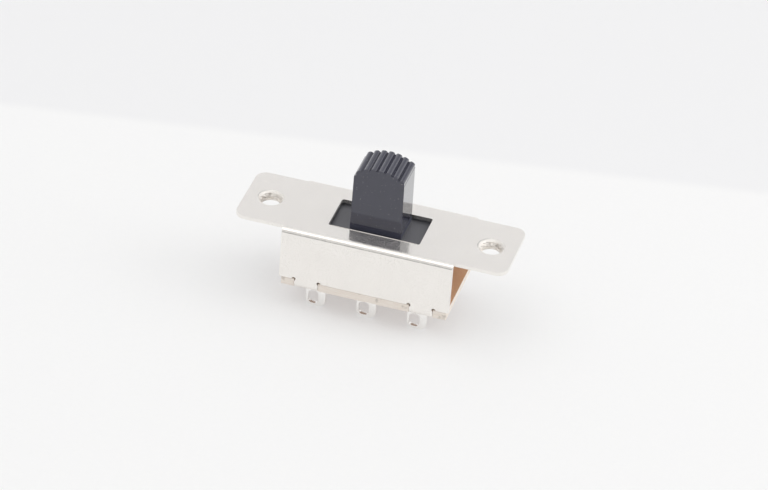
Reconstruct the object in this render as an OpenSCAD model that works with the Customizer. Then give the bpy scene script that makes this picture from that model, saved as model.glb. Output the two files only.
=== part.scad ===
// Panel-mounting slide switch, double pole, with a centre position.
// A folded sheet-steel channel with two mounting ears carries a phenolic terminal
// board on four clinched tabs. A moulded slider runs between the board and the
// mounting plate; its finger knob comes out through a window in the plate, and its
// underside holds one sprung bridging contact for each row of terminals.
// Origin: middle of the window, on the top face of the mounting plate.
// +X runs along the travel, +Y across the switch, +Z out of the panel.

/* [Frame] */
// Overall length of the mounting plate, ear tip to ear tip
plate_l = 35.1; // [33:0.1:40]
// Thickness of the sheet steel
sheet_t = 0.5; // [0.4:0.05:0.6]
// Radius of the corners of the ears
ear_r = 1.4; // [0.6:0.1:3]
// Length of the folded channel between the ears
body_l = 22; // [21:0.1:24]
// Width over the two side walls
body_w = 11.9; // [11.6:0.1:13]
// Drop from the plate's top face to the lower edge of the side walls
wall_drop = 7.15; // [6.8:0.05:8.5]
// Outside radius of the long bends
bend_r = 0.8; // [0.6:0.05:1.1]

/* [Mounting holes] */
// Distance between the two mounting holes
hole_spacing = 28.6; // [27.5:0.1:30]
// Diameter over the thread's crests
hole_d = 2.5; // [2.1:0.05:2.8]
// Depth of the thread, crest to root
thread_h = 0.24; // [0.1:0.02:0.28]
// Pitch of the thread
thread_pitch = 0.5; // [0.35:0.05:0.6]
// Rounding where the plate is drawn down into the hole
lip_r = 0.72; // [0.5:0.02:0.8]
// Depth of the drawn collar below the plate's top face
collar_h = 1.25; // [1.1:0.05:1.6]
// Wall thickness of the drawn collar
collar_t = 0.42; // [0.38:0.02:0.5]

/* [Window] */
// Length of the knob's window, along the travel
window_l = 11.8; // [11:0.1:12.4]
// Width of the knob's window
window_w = 6.05; // [5.4:0.05:6.4]
// Radius of the window's corners
window_r = 0.3; // [0.1:0.05:0.8]

/* [Clinch tabs] */
// Distance between the two tabs of one wall, middle to middle
tab_pitch = 14.9; // [14:0.1:16]
// Width of a tab
tab_w = 3.05; // [2:0.05:3.4]
// Reach of a tab's folded end under the board, from the wall's inner face
tab_fold = 0.62; // [0.55:0.01:0.68]
// Thickness of a tab's end, coined thinner as it is clinched
tab_end_t = 0.36; // [0.3:0.02:0.45]
// Outside radius of the fold
tab_fold_r = 0.9; // [0.6:0.05:1]
// Inside radius of the fold
tab_bend = 0.1; // [0.05:0.05:0.15]
// Radius of the relief at each root corner of a tab
relief_r = 0.26; // [0.14:0.01:0.3]
// Distance of the relief's middle outside the tab's edge
relief_out = 0.1; // [0.06:0.02:0.14]

/* [Terminal board] */
// Thickness of the board
board_t = 1.1; // [0.8:0.05:1.6]
// Gap by which the board stops short of each end of the channel
board_end = 0.3; // [0.1:0.05:0.6]
// Inset of the board's long edges from the outer faces of the walls
board_inset = 0.05; // [0:0.05:0.3]
// Clearance beside a tab in the board's notch
notch_gap = 0.04; // [0.02:0.02:0.3]
// Clearance behind a tab in the board's notch
notch_back = 0.1; // [0.1:0.02:0.2]

/* [Terminals] */
// Distance between neighbouring terminals of a row
lug_pitch = 6.6; // [6.2:0.05:7]
// Distance between the two rows, blade to blade
lug_rows = 7.75; // [7.2:0.05:7.9]
// Width of a terminal's blade
lug_w = 2.55; // [2.1:0.05:2.8]
// Thickness of the terminal strip
lug_t = 0.5; // [0.4:0.05:0.7]
// Length of a terminal's blade below the board
lug_l = 3.55; // [3.2:0.05:5]
// Radius of the corners at a blade's tip
lug_tip_r = 0.9; // [0.4:0.05:0.98]
// Width of the wiring eye
eye_w = 1.35; // [0.8:0.05:1.4]
// Length of the wiring eye
eye_l = 1.85; // [1.4:0.05:2.2]
// Offset of the eye from the blade's middle, towards -X
eye_shift = 0.3; // [0:0.02:0.3]
// Radius of the eye's corners
eye_r = 0.55; // [0.15:0.05:0.65]
// Metal left below the wiring eye
eye_rim = 0.35; // [0.3:0.05:0.6]
// Length of the contact pad that lies on the board
pad_l = 3; // [2.4:0.05:3.2]
// Clearance round a blade in its slot
slot_gap = 0.04; // [0.02:0.01:0.1]
// How far each staked burr stands out beside the blade
stake_w = 0.16; // [0.08:0.02:0.3]
// Height of a staked burr
stake_h = 0.35; // [0.2:0.05:0.6]

/* [Slider] */
// Length of the knob along the travel, at the plate
knob_l = 6.64; // [5.8:0.02:7]
// Width of the knob across the travel
knob_w = 4.7; // [4:0.05:5]
// Height of the knob's crown above the plate
knob_h = 9.12; // [7:0.02:11]
// Draft of the knob's end faces, each side, per millimetre of height
knob_draft = 0.012; // [0:0.002:0.03]
// Radius of the crown's arc
crown_r = 5.3; // [4.6:0.1:7]
// Number of finger ridges across the crown
ridge_n = 7; // [3:2:9]
// Pitch of the ridges along the crown's arc
ridge_pitch = 1.02; // [0.9:0.01:1.1]
// How far the row of ridges sits off the knob's middle
ridge_off = 0.16; // [-0.2:0.02:0.2]
// Radius of a ridge's rounded top
ridge_r = 0.42; // [0.34:0.01:0.48]
// Slope of a ridge's sides, in degrees
ridge_slope = 56; // [50:1:60]
// Depth of the grooves between the ridges
groove_h = 0.39; // [0.2:0.01:0.45]
// Bevel round the crown's front and back edges
crown_bevel = 0.08; // [0.04:0.02:0.3]
// Radius of the knob's upright corners
knob_r = 0.12; // [0.06:0.02:0.4]
// Length of the slider's flange
flange_l = 16.8; // [15:0.1:17]
// Thickness of the flange
flange_t = 1.3; // [1:0.05:1.8]
// Step from the flange's runners down to its face under the window
runner_h = 0.3; // [0.2:0.05:0.5]
// Clearance between the runners and the plate
runner_gap = 0.05; // [0.03:0.01:0.1]
// Clearance between the flange and each side wall
side_gap = 0.2; // [0.15:0.05:0.4]
// Length of the contact carrier under the flange
carrier_l = 12.2; // [11.4:0.1:13]
// Clearance between the carrier and each side wall
carrier_gap = 0.5; // [0.35:0.05:0.8]
// Clearance between the carrier's underside and the contact pads
carrier_lift = 0.6; // [0.4:0.05:1]
// Wall left round the hollow inside the knob
core_wall = 1.25; // [1:0.05:1.6]

/* [Moving contacts] */
// Thickness of the contact strip
strip_t = 0.32; // [0.25:0.01:0.4]
// Width of a contact
strip_w = 2; // [1.6:0.05:2.2]
// Length of the raised middle of a contact
bridge_l = 3.6; // [3:0.1:4]
// Rise of the middle above the feet
bridge_h = 0.75; // [0.6:0.05:0.9]
// Length of the turned-up toe beyond each foot
toe_l = 0.85; // [0.6:0.05:1]
// Clearance between the feet and the contact pads
foot_gap = 0.04; // [0.03:0.01:0.1]
// Clearance round a contact in its pocket
pocket_gap = 0.2; // [0.12:0.02:0.3]
// Outside diameter of a contact spring
coil_d = 2; // [1.6:0.05:2.1]
// Diameter of the spring wire
wire_d = 0.25; // [0.2:0.01:0.3]
// Turns in a spring
coil_n = 5; // [4:1:7]
// Depth of the spring's bore above its pocket
coil_seat = 1.7; // [1.2:0.05:1.9]

/* [Hidden] */
$fn = 64;
eps = 0.01;
in_w = body_w - 2 * sheet_t;              // clear width between the walls
ear_w = body_w - 2 * bend_r;              // the ears end where the bends begin
board_top = -wall_drop;
board_bot = board_top - board_t;
board_l = body_l - 2 * board_end;
board_w = body_w - 2 * board_inset;
lug_y = lug_rows / 2;                     // middle plane of a row of blades
pad_top = board_top + lug_t;
pad_y0 = lug_y + lug_t / 2;               // outer face of a blade
contact_y = pad_y0 - pad_l / 2;           // a contact runs over the middle of its pads
runner_top = -sheet_t - runner_gap;
face_top = runner_top - runner_h;         // flange face seen through the window
flange_w = in_w - 2 * side_gap;
flange_bot = face_top - flange_t;
carrier_w = in_w - 2 * carrier_gap;
carrier_bot = pad_top + carrier_lift;
foot_x = lug_pitch / 2;                   // feet stand between the pads at mid travel
foot_bot = pad_top + foot_gap;
strip_mid = foot_bot + bridge_h + strip_t / 2;
pocket_l = 2 * (foot_x + toe_l + pocket_gap) + strip_t;
pocket_w = strip_w + 2 * pocket_gap;
pocket_top = strip_mid + strip_t / 2 + pocket_gap;
coil_top = pocket_top + coil_seat;
coil_bot = strip_mid + strip_t / 2;
travel = (window_l - knob_l) / 2;         // knob to window, each way from the middle

// ---- plain building shapes ----

// Rectangle with round corners, middle at the origin
module round_rect(l, w, r) {
    square([l - 2 * r, w], center = true);
    square([l, w - 2 * r], center = true);
    for (x = [-1, 1], y = [-1, 1]) translate([x * (l / 2 - r), y * (w / 2 - r)]) circle(r);
}

// Extrude a Y-Z outline along X, about the middle
module along_x(l) {
    translate([-l / 2, 0, 0]) rotate([90, 0, 90]) linear_extrude(l) children();
}

// Extrude an X-Z outline along Y, about the middle
module along_y(l) {
    translate([0, l / 2, 0]) rotate([90, 0, 0]) linear_extrude(l) children();
}

// One thick straight stretch of a strip seen from its edge, with round ends
module stretch(a, b, t) {
    d = b - a;
    translate(a) rotate(atan2(d[1], d[0])) translate([0, -t / 2]) square([norm(d), t]);
    translate(a) circle(d = t);
    translate(b) circle(d = t);
}

// A strip bent through a list of points
module bent_strip(pts, t) {
    for (i = [0 : len(pts) - 2]) stretch(pts[i], pts[i + 1], t);
}

// ---- frame ----

// Outline of the channel: an inverted U with rounded shoulders, inset by d
module channel_outline(d, drop) {
    w = body_w - 2 * d;
    r = bend_r - d;
    translate([-w / 2 + r, -d - r]) square([w - 2 * r, r]);
    translate([-w / 2, -drop]) square([w, drop - d - r]);
    for (s = [-1, 1]) translate([s * (w / 2 - r), -d - r]) circle(r);
}

module channel() {
    along_x(body_l) difference() {
        channel_outline(0, wall_drop);
        channel_outline(sheet_t, wall_drop + 1);
    }
}

// A tab in the Y-Z plane: straight through the board's notch, then folded in under it
module tab_outline() {
    bot = board_bot - tab_end_t;
    y_end = in_w / 2 - tab_fold;
    y_mid = body_w / 2 - tab_fold_r;      // middle of the fold's outer round
    z_mid = bot + tab_fold_r;
    difference() {
        union() {
            translate([in_w / 2, z_mid]) square([sheet_t, -wall_drop - z_mid + eps]);
            intersection() {
                union() {
                    translate([y_mid, z_mid]) circle(tab_fold_r);
                    translate([y_end, bot]) square([y_mid - y_end + eps, tab_fold_r]);
                }
                translate([y_end, bot]) square([body_w, tab_fold_r + eps]);
            }
        }
        // the room taken by the board, rounded at its corner
        translate([y_end - 1, board_bot]) square([in_w / 2 - tab_bend - y_end + 1, board_t + 1]);
        translate([in_w / 2 - 1, board_bot + tab_bend]) square([1, board_t + 1]);
        translate([in_w / 2 - tab_bend, board_bot + tab_bend]) circle(tab_bend);
    }
}

module tabs() {
    for (x = [-1, 1], s = [0, 1])
        translate([x * tab_pitch / 2, 0, 0]) mirror([0, s, 0]) along_x(tab_w) tab_outline();
}

module tab_reliefs() {
    for (x = [-1, 1], e = [-1, 1])
        translate([x * tab_pitch / 2 + e * (tab_w / 2 + relief_out), 0, -wall_drop])
            rotate([90, 0, 0]) cylinder(r = relief_r, h = body_w + 2, center = true);
}

// Drawn collar that hangs below an ear
module collar() {
    rotate_extrude() difference() {
        translate([hole_d / 2, -collar_h]) square([collar_t, collar_h - eps]);
        translate([0, -lip_r]) square([hole_d / 2 + lip_r, lip_r + 1]);
    }
    // fillet between the collar and the ear
    rotate_extrude() difference() {
        translate([hole_d / 2 + collar_t - eps, -sheet_t - collar_t / 2])
            square([collar_t / 2 + eps, collar_t / 2 + eps]);
        translate([hole_d / 2 + 1.5 * collar_t, -sheet_t - collar_t / 2]) circle(collar_t / 2);
    }
    rotate_extrude() intersection() {
        translate([hole_d / 2 + lip_r, -lip_r]) circle(lip_r);
        translate([hole_d / 2, -lip_r - eps]) square([collar_t, lip_r]);
    }
}

// What the drawn and tapped hole takes out: bore, rounded mouth and thread grooves
module hole_cut() {
    r = hole_d / 2;
    rotate_extrude() {
        translate([0, -collar_h - 1]) square([r, collar_h + 2]);
        difference() {
            translate([0, -lip_r]) square([r + lip_r, lip_r + 1]);
            translate([r + lip_r, -lip_r]) circle(lip_r);
            translate([r + lip_r - eps, -lip_r]) square([1, lip_r]);
        }
        for (z = [-collar_h + thread_pitch * 0.6 : thread_pitch : -thread_h - 0.1])
            polygon([[r - thread_h / 2, z - thread_pitch * 0.6], [r + thread_h, z - thread_pitch * 0.06],
                [r + thread_h, z + thread_pitch * 0.06], [r - thread_h / 2, z + thread_pitch * 0.6]]);
    }
}

module frame() color([0.86, 0.85, 0.83]) {
    difference() {
        union() {
            translate([0, 0, -sheet_t]) linear_extrude(sheet_t) round_rect(plate_l, ear_w, ear_r);
            channel();
            tabs();
            for (x = [-1, 1]) translate([x * hole_spacing / 2, 0, 0]) collar();
        }
        for (x = [-1, 1]) translate([x * hole_spacing / 2, 0, 0]) hole_cut();
        translate([0, 0, -sheet_t - 1]) linear_extrude(sheet_t + 2)
            round_rect(window_l, window_w, window_r);
        tab_reliefs();
    }
}

// ---- terminal board ----

module terminal_board() color([0.62, 0.36, 0.2]) {
    notch_w = tab_w + 2 * notch_gap;
    notch_y = in_w / 2 - notch_back;
    translate([0, 0, board_bot]) linear_extrude(board_t) difference() {
        square([board_l, board_w], center = true);
        for (x = [-1, 1], s = [0, 1])
            translate([x * tab_pitch / 2, 0]) mirror([0, s])
                translate([-notch_w / 2, notch_y]) square([notch_w, body_w]);
        for (i = [-1, 0, 1], y = [-1, 1])
            translate([i * lug_pitch, y * lug_y])
                square([lug_w + 2 * slot_gap, lug_t + 2 * slot_gap], center = true);
    }
}

// ---- terminals ----

// Strip seen from its edge: contact pad on the board, bend, blade through the board
module lug_section() {
    r = lug_t;                            // outside radius of the bend
    tip = board_bot - lug_l;
    difference() {
        union() {
            translate([-pad_y0, tip]) square([lug_t, pad_top - tip - r]);
            translate([-pad_y0 + r, board_top]) square([pad_l - r, lug_t]);
            translate([-pad_y0 + r, pad_top - r]) circle(r);
        }
        translate([-pad_y0 + lug_t, tip - 1]) square([pad_l, board_top - tip + 1]);
    }
}

// Blade seen from the front, with its round tip and wiring eye
module lug_front() {
    tip = board_bot - lug_l;
    difference() {
        union() {
            translate([-lug_w / 2, tip + lug_tip_r]) square([lug_w, pad_top - tip - lug_tip_r + 1]);
            translate([-lug_w / 2 + lug_tip_r, tip]) square([lug_w - 2 * lug_tip_r, lug_tip_r + eps]);
            for (x = [-1, 1]) translate([x * (lug_w / 2 - lug_tip_r), tip + lug_tip_r]) circle(lug_tip_r);
        }
        translate([-eye_shift, tip + eye_rim + eye_l / 2]) round_rect(eye_w, eye_l, min(eye_r, eye_w / 2 - eps));
    }
}

// Burrs swaged out of the blade's edges, which lock it under the board
module stakes() {
    for (x = [-1, 1]) translate([x * lug_w / 2, -lug_y, board_bot - stake_h])
        cylinder(r1 = 0.02, r2 = stake_w, h = stake_h);
}

module terminal(i) color([0.84, 0.84, 0.82]) translate([i * lug_pitch, 0, 0]) {
    intersection() {
        along_x(lug_w) lug_section();
        along_y(body_w) lug_front();
    }
    stakes();
}

// ---- slider ----

crown_z = knob_h - crown_r;               // middle of the crown's arc
ridge_step = ridge_pitch / crown_r * 180 / PI;
ridge_turn = ridge_off / crown_r * 180 / PI;

// One ridge: a round top between two straight flanks that reach down into the grooves
module ridge() {
    z = crown_r - ridge_r;
    x0 = ridge_r * sin(ridge_slope);
    z0 = z + ridge_r * cos(ridge_slope);
    z1 = crown_r - groove_h - ridge_r;
    x1 = x0 + (z0 - z1) / tan(ridge_slope);
    translate([0, z]) circle(ridge_r);
    polygon([[-x0, z0], [x0, z0], [x1, z1], [-x1, z1]]);
}

// Knob seen from the front: drafted sides under a ridged, arched crown
module knob_outline() {
    low = flange_bot + eps;
    hb = knob_l / 2 - knob_draft * low;
    ht = knob_l / 2 - knob_draft * knob_h;
    intersection() {
        polygon([[-hb, low], [hb, low], [ht, knob_h], [-ht, knob_h]]);
        union() {
            translate([-knob_l, low]) square([2 * knob_l, crown_z - low]);
            translate([0, crown_z]) circle(crown_r - groove_h);
            for (k = [-(ridge_n - 1) / 2 : (ridge_n - 1) / 2])
                translate([0, crown_z]) rotate(k * ridge_step - ridge_turn) ridge();
        }
    }
}

// Bevel round the crown: a drum with bevelled rims, on a plain block
module crown_limit() {
    b = crown_bevel;
    translate([0, 0, crown_z]) rotate([90, 0, 0]) {
        cylinder(r = crown_r, h = knob_w - 2 * b, center = true);
        for (s = [0, 1]) mirror([0, 0, s]) translate([0, 0, knob_w / 2 - b])
            cylinder(r1 = crown_r, r2 = crown_r - b, h = b);
    }
    translate([-knob_l, -knob_w / 2, flange_bot]) cube([2 * knob_l, knob_w, crown_z - flange_bot]);
}

module knob() {
    intersection() {
        along_y(knob_w) knob_outline();
        crown_limit();
        translate([0, 0, flange_bot]) linear_extrude(knob_h - flange_bot + 1)
            round_rect(knob_l - 2 * knob_draft * flange_bot, knob_w, knob_r);
    }
}

// Flange with a runner along each side, and a rounded corner at each end
module flange() {
    run_w = (flange_w - window_w) / 2;    // runners stand clear of the window
    translate([0, 0, flange_bot]) linear_extrude(flange_t) round_rect(flange_l, flange_w, 0.5);
    for (s = [-1, 1]) translate([0, s * (flange_w / 2 - run_w / 2 - 0.15), face_top - eps])
        linear_extrude(runner_h + eps) round_rect(flange_l - 1, run_w - 0.6, 0.3);
}

module pockets() {
    for (s = [-1, 1]) translate([0, s * contact_y, 0]) {
        translate([0, 0, carrier_bot - 1]) linear_extrude(pocket_top - carrier_bot + 1)
            round_rect(pocket_l, pocket_w, 0.3);
        translate([0, 0, pocket_top - eps]) cylinder(d = coil_d + 2 * pocket_gap, h = coil_seat + eps);
    }
}

// Hollow moulded up into the knob from below
module knob_core() {
    translate([0, 0, carrier_bot - 1])
        linear_extrude(crown_z - carrier_bot + 1 + crown_r - groove_h - 2 * core_wall)
            round_rect(knob_l - 2 * core_wall, min(knob_w, 2 * contact_y - pocket_w) - 1.6, 0.3);
}

module slider() color([0.13, 0.13, 0.15]) {
    difference() {
        union() {
            knob();
            flange();
            translate([0, 0, carrier_bot]) linear_extrude(flange_bot - carrier_bot + eps)
                round_rect(carrier_l, carrier_w, 0.6);
        }
        pockets();
        knob_core();
    }
}

// ---- moving contacts and their springs ----

// Bridging contact seen from the front: raised middle, two feet, turned-up toes
module contact_outline() {
    low = foot_bot + strip_t / 2;
    half = [[0, strip_mid], [bridge_l / 2, strip_mid], [foot_x, low], [foot_x + toe_l, low + toe_l / 2]];
    for (s = [0, 1]) mirror([s, 0]) bent_strip(half, strip_t);
}

module moving_contact(s) color([0.85, 0.8, 0.68])
    translate([0, s * contact_y, 0]) along_y(strip_w) contact_outline();

// Height of the wire's middle after a share u of its length, with closed end turns
function coil_z(u) = let (
    lo = coil_bot + wire_d / 2, hi = coil_top - wire_d / 2, e = 1 / coil_n,
    a = lo + wire_d, b = hi - wire_d)
    u < e ? lo + (a - lo) * u / e : u > 1 - e ? b + (hi - b) * (u - 1 + e) / e
    : a + (b - a) * (u - e) / (1 - 2 * e);

module coil_spring(sides = 8, steps = 20) {
    n = coil_n * steps;
    r = (coil_d - wire_d) / 2;
    pts = [for (i = [0 : n], k = [0 : sides - 1]) let (
        a = 360 * i / steps, b = 360 * k / sides, q = r + wire_d / 2 * cos(b))
        [q * cos(a), q * sin(a), coil_z(i / n) + wire_d / 2 * sin(b)]];
    walls = [for (i = [0 : n - 1], k = [0 : sides - 1]) let (k2 = (k + 1) % sides, p = i * sides)
        [p + k, p + sides + k, p + sides + k2, p + k2]];
    ends = [[for (k = [0 : sides - 1]) k], [for (k = [sides - 1 : -1 : 0]) n * sides + k]];
    polyhedron(pts, concat(walls, ends));
}

module contact_spring(s) color([0.7, 0.7, 0.7]) translate([0, s * contact_y, 0]) coil_spring();

frame();
terminal_board();
slider();
terminal(-1);  // terminal_front_left
terminal(0);  // terminal_front_centre
terminal(1);  // terminal_front_right
mirror([0, 1, 0]) terminal(-1);  // terminal_rear_left
mirror([0, 1, 0]) terminal(0);  // terminal_rear_centre
mirror([0, 1, 0]) terminal(1);  // terminal_rear_right
moving_contact(-1);  // moving_contact_front
moving_contact(1);  // moving_contact_rear
contact_spring(-1);  // contact_spring_front
contact_spring(1);  // contact_spring_rear
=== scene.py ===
# Looks for the slide switch: nickel-plated frame, moulded slider, phenolic board and
# silvered terminals, on a pale table under soft studio light. All lengths are in metres.
import math
import bmesh
import bpy
from mathutils import Matrix, Vector


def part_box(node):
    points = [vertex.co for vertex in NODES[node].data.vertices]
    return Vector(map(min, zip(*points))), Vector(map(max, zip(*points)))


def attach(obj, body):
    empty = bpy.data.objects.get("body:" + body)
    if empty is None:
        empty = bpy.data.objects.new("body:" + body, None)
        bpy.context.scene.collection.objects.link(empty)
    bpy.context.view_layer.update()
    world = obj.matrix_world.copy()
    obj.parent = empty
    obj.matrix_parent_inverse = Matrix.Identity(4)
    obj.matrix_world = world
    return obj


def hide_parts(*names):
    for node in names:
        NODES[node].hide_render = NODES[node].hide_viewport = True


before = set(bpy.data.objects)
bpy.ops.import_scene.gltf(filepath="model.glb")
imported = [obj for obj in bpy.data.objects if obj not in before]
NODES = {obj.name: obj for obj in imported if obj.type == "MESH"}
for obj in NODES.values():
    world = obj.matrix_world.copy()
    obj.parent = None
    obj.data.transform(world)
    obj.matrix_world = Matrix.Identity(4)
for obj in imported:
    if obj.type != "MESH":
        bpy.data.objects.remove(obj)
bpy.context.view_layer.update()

MM = 0.001
TERMINALS = [name for name in NODES if name.startswith("terminal_") and name != "terminal_board"]
CONTACTS = ["moving_contact_front", "moving_contact_rear"]
SPRINGS = ["contact_spring_front", "contact_spring_rear"]

SHEET = 0.5 * MM                # the frame's thickness
TABLE_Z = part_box("terminal_front_centre")[0].z      # the lugs stand on the table
BOARD_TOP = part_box("terminal_board")[1].z           # where the side walls stand on the board
WALL_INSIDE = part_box("frame")[1].y - SHEET          # from the middle to a wall's inner face
HOLE_X = 0.5 * 28.6 * MM        # each tapped hole's distance from the middle
MOUTH_REACH = 2.1 * MM          # radius round a hole's rounded mouth
THREAD_REACH = 1.62 * MM        # radius round the thread's roots
WINDOW_SIDE = 6 * MM            # just past the window's ends
WINDOW_BACK = 3.1 * MM          # just past its back edge
WINDOW_FRONT = -3.025 * MM      # its front edge
WINDOW_CLEAR = -2.9 * MM        # just behind its front edge
BURR_HALF = 5.6 * MM            # half the burr's length, short of the window's corners
BURR = 0.07 * MM                # how high the burr stands
FRAME_BREAK = 0.08 * MM         # rounding of the frame's sheared edges
TERMINAL_BREAK = 0.05 * MM      # rounding of the terminals' sheared edges
SHARP = math.radians(38)        # an edge that turns by more than this is a sheared one
SMOOTH = math.radians(32)       # faces that meet at less than this shade as one
TENT = 0.93                     # how bright the tent is at its sides
DIMMED = 0.78                   # what scatters light sees this share of it


# ---------------------------------------------------------------- shader building

class Value:
    """A number's socket. Arithmetic on it adds Math nodes to its material."""

    def __init__(self, graph, socket):
        self.graph, self.socket = graph, socket

    def _math(self, operation, *numbers):
        return self.graph.add("ShaderNodeMath", {"operation": operation}, dict(enumerate(numbers)))

    def __add__(self, other):
        return self._math("ADD", self, other)

    def __sub__(self, other):
        return self._math("SUBTRACT", self, other)

    def __mul__(self, other):
        return self._math("MULTIPLY", self, other)

    def __neg__(self):
        return self._math("MULTIPLY", self, -1.0)

    def __abs__(self):
        return self._math("ABSOLUTE", self)

    def __rsub__(self, other):
        return self._math("SUBTRACT", other, self)

    __radd__ = __add__
    __rmul__ = __mul__

    def less(self, other):
        """1 where it is under other, and 0 elsewhere."""
        return self._math("LESS_THAN", self, other)

    def between(self, low, high):
        """0 below low, 1 above high, and a soft step from one to the other."""
        return self.graph.add("ShaderNodeMapRange", {"interpolation_type": "SMOOTHSTEP"},
                              {"Value": self, "From Min": low, "From Max": high})


class Graph:
    """Adds nodes to a material or to the world."""

    def __init__(self, tree):
        self.tree = tree
        tree.nodes.clear()

    def add(self, kind, settings=None, ins=None, out=0):
        """Add a node: its settings first, then the values or links of its sockets."""
        node = self.tree.nodes.new(kind)
        for name, value in (settings or {}).items():
            if name == "stops":
                self._set_stops(node.color_ramp, value)
            else:
                setattr(node, name, value)
        for key, value in (ins or {}).items():
            socket = node.inputs[key]
            if isinstance(value, Value):
                self.tree.links.new(value.socket, socket)
            else:
                socket.default_value = value
        return Value(self, node.outputs[out]) if node.outputs else node

    @staticmethod
    def _set_stops(ramp, stops):
        while len(ramp.elements) < len(stops):
            ramp.elements.new(0.5)
        for element, (place, colour) in zip(ramp.elements, stops):
            element.position = place
            element.color = (*colour, 1.0)

    def place(self):
        """The point being shaded, in the object's own coordinates."""
        return self.add("ShaderNodeTexCoord", out="Object")

    def facing(self):
        """The surface's direction, in the object's own coordinates."""
        return self.add("ShaderNodeTexCoord", out="Normal")

    def parts(self, vector):
        """A vector's three numbers."""
        node = self.tree.nodes.new("ShaderNodeSeparateXYZ")
        self.tree.links.new(vector.socket, node.inputs[0])
        return [Value(self, s) for s in node.outputs]

    def number(self, colour):
        """How bright a colour is, as one number."""
        return self.add("ShaderNodeRGBToBW", None, {"Color": colour})

    def stretched(self, vector, scale, turn=(0, 0, 0)):
        return self.add("ShaderNodeMapping", None,
                        {"Vector": vector, "Scale": scale, "Rotation": turn})

    def noise(self, vector, scale, detail=3.0, roughness=0.5, warp=0.0):
        return self.add("ShaderNodeTexNoise", {"noise_dimensions": "3D"},
                        {"Vector": vector, "Scale": scale, "Detail": detail,
                         "Roughness": roughness, "Distortion": warp})

    def mix(self, share, first, second):
        """Colour mix: first where share is 0, second where it is 1."""
        ins = {0: share, 6: first, 7: second}
        return self.add("ShaderNodeMix", {"data_type": "RGBA"}, ins, out=2)

    def bump(self, height, distance, strength):
        return self.add("ShaderNodeBump", None,
                        {"Height": height, "Distance": distance, "Strength": strength})

    def surface(self, shader):
        self.add("ShaderNodeOutputMaterial", None, {"Surface": shader})


def rgba(r, g, b):
    return (r, g, b, 1.0)


def new_material(name, paint):
    """Make a material and let paint fill its node tree."""
    material = bpy.data.materials.new(name)
    material.use_nodes = True
    paint(Graph(material.node_tree))
    return material


def fine_lines(g, point, along, spacing):
    """Short parallel scratches that run along one axis, from 0 to 1."""
    scale = [1.0 / spacing] * 3
    scale["xyz".index(along)] = 0.02 / spacing
    return g.noise(g.stretched(point, scale), 1.0, detail=2.0, roughness=0.6)


def slanted(g, point, turn):
    """The same point in axes turned about Z, for scratches that run at a slant."""
    return g.stretched(point, (1, 1, 1), (0, 0, turn))


# ---------------------------------------------------------------- finishes

def paint_nickel(g):
    """Bright nickel over rolled steel: a mirror with fine pits, rolling lines and hairlines.

    The window's sheared faces are torn at its front. At its back they are painted dark,
    as painted shade for the shade there and the black slider's reflection, and the
    tapped holes are rougher.
    """
    point = g.place()
    x, y, z = g.parts(point)
    backward = g.parts(g.facing())[1]
    cloud = g.noise(point, 260.0, detail=4.0, roughness=0.55)
    rolling = fine_lines(g, point, "x", 0.09 * MM)
    orange = g.noise(point, 1500.0, detail=2.0)
    pits = g.noise(point, 16000.0, detail=1.0).between(0.54, 0.61)
    hair = fine_lines(g, slanted(g, point, 0.5), "x", 0.28 * MM).between(0.72, 0.8)
    scuff = fine_lines(g, slanted(g, point, 0.3), "x", 0.12 * MM).between(0.55, 0.8)

    in_plate = z.between(-SHEET - 0.1 * MM, -SHEET)
    window = abs(x).less(WINDOW_SIDE) * abs(y).less(WINDOW_BACK) * in_plate
    torn = backward.between(0.6, 0.9) * window
    painted_shade_back_cut = (-backward).between(0.6, 0.9) * window
    aside = abs(x) - HOLE_X
    tapped = (aside * aside + y * y).less(THREAD_REACH ** 2)

    colour = g.mix(cloud, rgba(0.9, 0.872, 0.838), rgba(0.95, 0.925, 0.892))
    colour = g.mix(hair * 0.25, colour, rgba(0.95, 0.94, 0.92))
    # painted shade: the window's back cut faces darkened for the shade and the slider's dark
    # reflection
    colour = g.mix(painted_shade_back_cut * 0.6, colour, rgba(0.3, 0.29, 0.28))
    rough = (0.08 + cloud * 0.06 + rolling * 0.03 + hair * 0.1 + scuff * 0.25 + pits * 0.6
             + torn * 0.4 + tapped * 0.42)
    normal = g.bump(orange * 0.6 + rolling * 0.4, 0.002 * MM, 0.25)
    g.surface(g.add("ShaderNodeBsdfPrincipled", None, {
        "Base Color": colour, "Metallic": 1.0, "Roughness": rough, "Normal": normal}))


def paint_black_plastic(g):
    """Moulded blue-black plastic: glossy on the knob, matt and greyer where it slides."""
    point = g.place()
    z = g.parts(point)[2]
    matt = 1.0 - z.between(0.1 * MM, 0.7 * MM)              # the knob's foot and below
    rubbed = 1.0 - z.between(-0.45 * MM, -0.3 * MM)         # the flange and below
    cloud = g.noise(point, 420.0, detail=3.0)
    grain = g.noise(point, 9000.0, detail=2.0)
    dust = g.noise(point, 5200.0, detail=1.0).between(0.735, 0.77)
    colour = g.mix(cloud, rgba(0.021, 0.022, 0.043), rgba(0.029, 0.030, 0.055))
    colour = g.mix(matt, colour, rgba(0.066, 0.069, 0.1))
    colour = g.mix(rubbed * 0.8, colour, rgba(0.148, 0.148, 0.156))
    colour = g.mix(dust * 0.5, colour, rgba(0.3, 0.3, 0.3))
    rough = 0.09 + cloud * 0.07 + dust * 0.3 + matt * 0.36
    side = abs(g.parts(g.facing())[0]).between(0.8, 0.95)
    gloss = 0.76 + side * 0.24                              # the knob's sides have it in full
    normal = g.bump(grain * 0.7 + cloud * 0.3, 0.003 * MM, 0.2)
    g.surface(g.add("ShaderNodeBsdfPrincipled", None, {
        "Base Color": colour, "Roughness": rough, "Normal": normal, "IOR": 1.54,
        "Coat Weight": (1.0 - matt) * gloss, "Coat Roughness": 0.03}))


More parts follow.
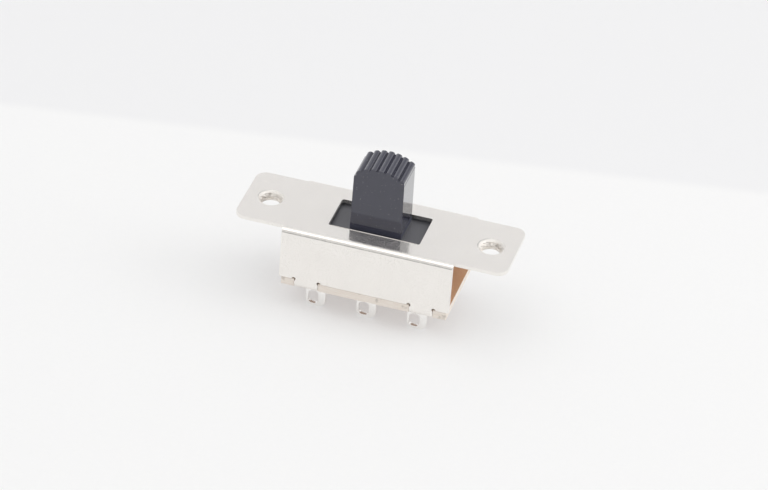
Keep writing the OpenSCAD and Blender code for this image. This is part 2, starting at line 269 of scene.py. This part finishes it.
def paint_phenolic(g):
    """Brown paper-phenolic sheet: glossy faces with mottled fibre, paler layered edges.

    Its top inside the walls is painted bright orange as painted light, and its underside darker
    and greyer as painted shade. The top is greyer outside the walls, and its edges carry a
    painted shadow line just below the top, for the shade under the walls' lower edges.
    """
    point = g.place()
    _, y, height = g.parts(point)
    upward = g.parts(g.facing())[2]
    edge = 1.0 - abs(upward).between(0.3, 0.7)
    fibre = g.noise(point, 2600.0, detail=5.0, roughness=0.65, warp=0.4)
    mottle = g.noise(point, 500.0, detail=3.0)
    layers = g.noise(g.stretched(point, (900.0, 900.0, 14000.0)), 1.0, detail=3.0)
    smudge = g.noise(point, 800.0, detail=4.0).between(0.6, 0.72)

    # painted light and shade: top faces painted bright orange for the light in the channel, the
    # underside darker and greyer
    inside = g.mix(fibre, rgba(0.96, 0.46, 0.24), rgba(1.0, 0.65, 0.42))
    painted_shade_underside = g.mix(fibre, rgba(0.4, 0.3, 0.25), rgba(0.54, 0.435, 0.375))
    face = g.mix(upward.between(-0.2, 0.2), painted_shade_underside, inside)
    face = g.mix(mottle * 0.2, face, rgba(0.66, 0.4, 0.24))
    outside = abs(y).between(WALL_INSIDE - 0.2 * MM, WALL_INSIDE - 0.05 * MM)
    face = g.mix(outside, face, rgba(0.6, 0.51, 0.43))

    # painted shadow: a dark line along the top of the edges, for the shade under the walls
    painted_shadow_line = height.between(BOARD_TOP - 0.13 * MM, BOARD_TOP - 0.06 * MM)
    rim = g.mix(layers, rgba(0.83, 0.715, 0.62), rgba(1.0, 0.96, 0.9))
    rim = g.mix(smudge * 0.5, rim, rgba(0.42, 0.38, 0.33))
    rim = g.mix(painted_shadow_line * 0.35, rim, rgba(0.42, 0.34, 0.28))

    rough = 0.26 + fibre * 0.12 + edge * 0.4
    normal = g.bump(fibre * (1.0 - edge) * 0.35 + layers * edge, 0.012 * MM, 0.5)
    g.surface(g.add("ShaderNodeBsdfPrincipled", None, {
        "Base Color": g.mix(edge, face, rim), "Roughness": rough, "Normal": normal}))


def paint_silvered_brass(g):
    """Silver-plated brass strip: bright, with the stamping's lines and a hint of tarnish."""
    point = g.place()
    cloud = g.noise(point, 900.0, detail=4.0, roughness=0.6)
    lines = fine_lines(g, point, "z", 0.07 * MM)
    tarnish = g.noise(point, 1500.0, detail=5.0, warp=0.6).between(0.6, 0.78)
    colour = g.mix(cloud, rgba(0.955, 0.945, 0.925), rgba(0.995, 0.99, 0.975))
    colour = g.mix(tarnish * 0.3, colour, rgba(0.66, 0.57, 0.44))
    rough = 0.16 + cloud * 0.08 + lines * 0.06 + tarnish * 0.12
    normal = g.bump(lines * 0.6 + cloud * 0.4, 0.005 * MM, 0.4)
    g.surface(g.add("ShaderNodeBsdfPrincipled", None, {
        "Base Color": colour, "Metallic": 1.0, "Roughness": rough, "Normal": normal}))


def paint_spring_wire(g):
    """Drawn spring wire: grey, with fine drawing marks."""
    point = g.place()
    marks = g.noise(point, 5000.0, detail=3.0)
    colour = g.mix(marks, rgba(0.42, 0.42, 0.42), rgba(0.62, 0.61, 0.6))
    g.surface(g.add("ShaderNodeBsdfPrincipled", None, {
        "Base Color": colour, "Metallic": 1.0, "Roughness": 0.25 + marks * 0.15,
        "Normal": g.bump(marks, 0.003 * MM, 0.4)}))


def paint_table(g):
    """Pale matt sheet, lit a little from behind: even, but painted a touch darker where it turns
    up, as painted shade.

    High up on the right it has a darker band, which only the knob's side reflects. From
    behind it is clear, so that the switch can be seen from every side.
    """
    point = g.place()
    x, _, z = g.parts(point)
    upright = z.between(TABLE_Z + 0.12 * MM, TABLE_Z + 0.2 * MM)
    high = z.between(TABLE_Z + 40 * MM, TABLE_Z + 120 * MM)
    band = x.between(20 * MM, 60 * MM) * (1.0 - x.between(110 * MM, 150 * MM)) * high
    tooth = g.noise(point, 1800.0, detail=3.0)
    colour = g.mix(tooth, rgba(0.515, 0.515, 0.515), rgba(0.535, 0.534, 0.533))
    # painted shade: where it turns up, the sheet is painted greyer and glows less
    colour = g.mix(upright, colour, rgba(0.49, 0.49, 0.493))
    glow = g.mix(upright, rgba(0.379, 0.379, 0.379), rgba(0.367, 0.367, 0.372))
    glow = g.mix(high, glow, rgba(0.392, 0.392, 0.397))
    glow = g.mix(band, glow, rgba(0.03, 0.03, 0.03))
    sheet = g.add("ShaderNodeBsdfPrincipled", None, {
        "Base Color": colour, "Roughness": 0.7, "Specular IOR Level": 0.2,
        "Emission Color": glow, "Emission Strength": 1.0})
    behind = g.add("ShaderNodeNewGeometry", out="Backfacing")
    clear = g.add("ShaderNodeBsdfTransparent")
    g.surface(g.add("ShaderNodeMixShader", None, {0: behind, 1: sheet, 2: clear}))


# ---------------------------------------------------------------- dressing the pieces

def deselect():
    bpy.ops.object.select_all(action="DESELECT")


def dress(name, material):
    """Give a piece its finish."""
    NODES[name].data.materials.clear()
    NODES[name].data.materials.append(material)


def off_hole(point):
    """How far a point is from the nearer tapped hole's axis."""
    return min(math.hypot(point.x - x, point.y) for x in (-HOLE_X, HOLE_X))


def in_hole(point):
    """Whether a point is inside one of the two tapped holes, below the plate's top."""
    return off_hole(point) < MOUTH_REACH and point.z < -0.01 * MM


def stays_sharp(point):
    """Whether a place is in or round a tapped hole, or at the window's ends or back edge."""
    by_window = abs(point.x) < WINDOW_SIDE and WINDOW_CLEAR < point.y < WINDOW_BACK
    return off_hole(point) < MOUTH_REACH or by_window


def raise_burr(mesh):
    """The shear leaves a fine burr standing along the window's front edge.

    It is the middle row of that edge's rounding, lifted.
    """
    shape = bmesh.from_edit_mesh(mesh)
    bpy.ops.mesh.select_all(action="DESELECT")
    for vert in shape.verts:
        x, y, z = vert.co
        middle_row = -0.035 * MM < y - WINDOW_FRONT < 0.005 * MM and -0.04 * MM < z < -0.002 * MM
        if abs(x) < BURR_HALF and middle_row:
            vert.select_set(True)
    bmesh.update_edit_mesh(mesh)
    bpy.ops.transform.translate(value=(0, 0, BURR))


def sheared(edge, keep):
    """Whether an edge is an outer sheared one that gets rounded."""
    if len(edge.link_faces) != 2 or not edge.is_convex or edge.calc_face_angle() <= SHARP:
        return False
    return not (keep and keep((edge.verts[0].co + edge.verts[1].co) / 2))


def even_shading(piece, mesh):
    """Shade it smooth, with normals that the large flat faces set, save in the turned holes."""
    bpy.ops.object.shade_smooth_by_angle(angle=SMOOTH)
    turned = "turned_in_the_holes"
    inside = [vert.index for vert in mesh.vertices if in_hole(vert.co)]
    piece.vertex_groups.new(name=turned).add(inside, 1.0, "REPLACE")
    weigh = piece.modifiers.new("flat_faces_lead", "WEIGHTED_NORMAL")
    weigh.mode, weigh.weight, weigh.keep_sharp = "FACE_AREA", 100, True
    weigh.vertex_group, weigh.invert_vertex_group = turned, True
    bpy.ops.object.modifier_apply(modifier=weigh.name)
    piece.vertex_groups.clear()


def break_edges(name, material, body, width, keep=None, lift=None):
    """A copy of a piece, with its sheared edges rounded over, stands for it."""
    deselect()
    mesh = NODES[name].data.copy()
    piece = bpy.data.objects.new(name + "_finished", mesh)
    bpy.context.scene.collection.objects.link(piece)
    bpy.context.view_layer.objects.active = piece
    piece.select_set(True)
    bpy.ops.object.mode_set(mode="EDIT")
    bpy.ops.mesh.select_all(action="SELECT")
    bpy.ops.mesh.remove_doubles(threshold=0.0002 * MM)
    bpy.ops.mesh.dissolve_limited(angle_limit=math.radians(0.3))
    bpy.ops.mesh.select_all(action="DESELECT")
    for edge in bmesh.from_edit_mesh(mesh).edges:
        if sheared(edge, keep):
            edge.select_set(True)
    bmesh.update_edit_mesh(mesh)
    bpy.ops.mesh.bevel(offset=width, segments=2, clamp_overlap=True)
    if lift:
        lift(mesh)
    bpy.ops.object.mode_set(mode="OBJECT")
    even_shading(piece, mesh)
    mesh.materials.clear()
    mesh.materials.append(material)
    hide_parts(name)
    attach(piece, body)


def dress_all():
    nickel = new_material("bright_nickel_steel", paint_nickel)
    black = new_material("moulded_black_plastic", paint_black_plastic)
    phenolic = new_material("brown_phenolic_sheet", paint_phenolic)
    silver = new_material("silvered_brass_strip", paint_silvered_brass)
    wire = new_material("drawn_spring_wire", paint_spring_wire)
    break_edges("frame", nickel, "housing", FRAME_BREAK,
                stays_sharp, raise_burr)
    dress("slider", black)
    dress("terminal_board", phenolic)
    for name in TERMINALS:
        break_edges(name, silver, "housing", TERMINAL_BREAK)
    for name in CONTACTS:
        dress(name, silver)
    for name in SPRINGS:
        dress(name, wire)


# ---------------------------------------------------------------- table, light and camera

def make_table():
    """A pale table that turns up into a backdrop behind the switch."""
    width, front, back = 2.4, -0.14, 0.029      # the flat part's width, front and back
    bend, rise = 0.25, 0.9                      # the bend's radius and the backdrop's top
    turn = math.radians(-10.2)                  # it stands at a slant to the switch
    deselect()
    bpy.ops.mesh.primitive_plane_add(size=1)
    table = bpy.context.object
    table.name = table.data.name = "table_sweep"
    bpy.ops.object.mode_set(mode="EDIT")
    bpy.ops.transform.resize(value=(width, back - front, 1))
    bpy.ops.transform.translate(value=(0, (back + front) / 2, 0))
    shape = bmesh.from_edit_mesh(table.data)
    bpy.ops.mesh.select_all(action="DESELECT")
    for edge in shape.edges:
        edge.select_set(all(vert.co.y > back - MM for vert in edge.verts))
    bmesh.update_edit_mesh(table.data)
    bpy.ops.mesh.spin(steps=24, angle=math.radians(-90), center=(0, back, bend), axis=(1, 0, 0))
    bpy.ops.mesh.extrude_region_move(TRANSFORM_OT_translate={"value": (0, 0, rise - bend)})
    bpy.ops.mesh.select_all(action="SELECT")
    bpy.ops.transform.rotate(value=turn, orient_axis="Z", center_override=(0, 0, 0))
    bpy.ops.transform.translate(value=(0, 0, TABLE_Z))
    bpy.ops.object.mode_set(mode="OBJECT")
    bpy.ops.object.shade_smooth()
    table.data.materials.append(new_material("pale_table", paint_table))


def make_world():
    """A white tent: bright high in front, dim towards the front horizon, with one dark gap.

    Mirrors see it in full. What scatters light sees it dimmer, and gets the rest of its light
    from the lamps. Seen directly, it is plain and pale.
    """
    world = bpy.data.worlds.new("light_tent")
    bpy.context.scene.world = world
    world.use_nodes = True
    g = Graph(world.node_tree)
    x, y, z = g.parts(g.add("ShaderNodeTexCoord", out="Generated"))
    front = (-y).between(0.15, 0.5)
    # how high in front, from straight down at -1 to straight up at 1, and how bright there
    heights = ((-0.3, 0.6), (-0.08, 0.4), (0.1, 0.32), (0.22, 0.45), (0.36, 0.78), (0.5, 1.0),
               (0.72, 1.12), (0.86, 1.15), (0.96, 1.15))
    top = 1.25                                  # the ramp holds each level as a share of this
    stops = [(0.5 + 0.5 * height, (level / top,) * 3) for height, level in heights]
    ahead = g.add("ShaderNodeValToRGB", {"stops": stops}, {"Fac": z * 0.5 + 0.5})
    gap_x, gap_y, gap_z = -0.2025, -0.796, 0.57     # where the dark gap lies
    gap = (x * gap_x + y * gap_y + z * gap_z).between(0.985, 0.994)
    level = TENT * (1.0 - front) + g.number(ahead) * top * front - gap * 0.38
    mirrored = g.add("ShaderNodeLightPath", out="Is Glossy Ray")
    level = level * (DIMMED + mirrored * (1.0 - DIMMED))
    straight = g.add("ShaderNodeLightPath", out="Is Camera Ray")
    level = level * (1.0 - straight) + straight * TENT
    tent = g.add("ShaderNodeBackground", None,
                 {"Color": rgba(1.0, 0.997, 0.99), "Strength": level})
    g.add("ShaderNodeOutputWorld", None, {"Surface": tent})


def add_light(name, place, size, power):
    """A softbox of a given size and power that points at the switch."""
    lamp = bpy.data.lights.new(name, "AREA")
    lamp.shape = "RECTANGLE"
    lamp.size, lamp.size_y = size
    lamp.energy = power
    holder = bpy.data.objects.new(name, lamp)
    bpy.context.scene.collection.objects.link(holder)
    holder.location = place
    holder.rotation_mode = "QUATERNION"
    holder.rotation_quaternion = (-Vector(place)).to_track_quat("-Z", "Y")
    return holder


def make_lights():
    """A large lamp overhead, which no mirror shows, and smaller ones in front and at the right."""
    overhead = add_light("overhead_softbox", (0, -0.02, 0.62), (1.2, 0.6), 1.2)
    overhead.visible_glossy = False
    add_light("front_softbox", (-0.12, -0.27, 0.6), (0.35, 0.25), 0.2)
    add_light("right_softbox", (0.6, 0.1, 0.35), (0.4, 0.5), 1.06)


def make_camera():
    """A long lens, high in front and a little to the right, tilted a few degrees."""
    spot = (0.110859, -0.433296, 0.306825)
    azimuth, height, tilt = (math.radians(a) for a in (14.2719, 34.7506, 4.41456))
    back = Vector((math.sin(azimuth) * math.cos(height), -math.cos(azimuth) * math.cos(height),
                   math.sin(height)))
    right = Vector((math.cos(azimuth), math.sin(azimuth), 0))
    up = back.cross(right)
    side = right * math.cos(tilt) + up * math.sin(tilt)
    top = up * math.cos(tilt) - right * math.sin(tilt)
    lens = bpy.data.cameras.new("studio_camera")
    lens.lens = 204.984
    lens.sensor_width = 36.0
    lens.clip_start, lens.clip_end = 0.05, 10.0
    camera = bpy.data.objects.new("studio_camera", lens)
    bpy.context.scene.collection.objects.link(camera)
    turn = Matrix((side, top, back)).transposed().to_4x4()
    camera.matrix_world = Matrix.Translation(spot) @ turn
    bpy.context.scene.camera = camera


# ---------------------------------------------------------------- the whole scene

dress_all()
make_table()
make_world()
make_lights()
make_camera()
bpy.context.scene.view_settings.view_transform = "Standard"
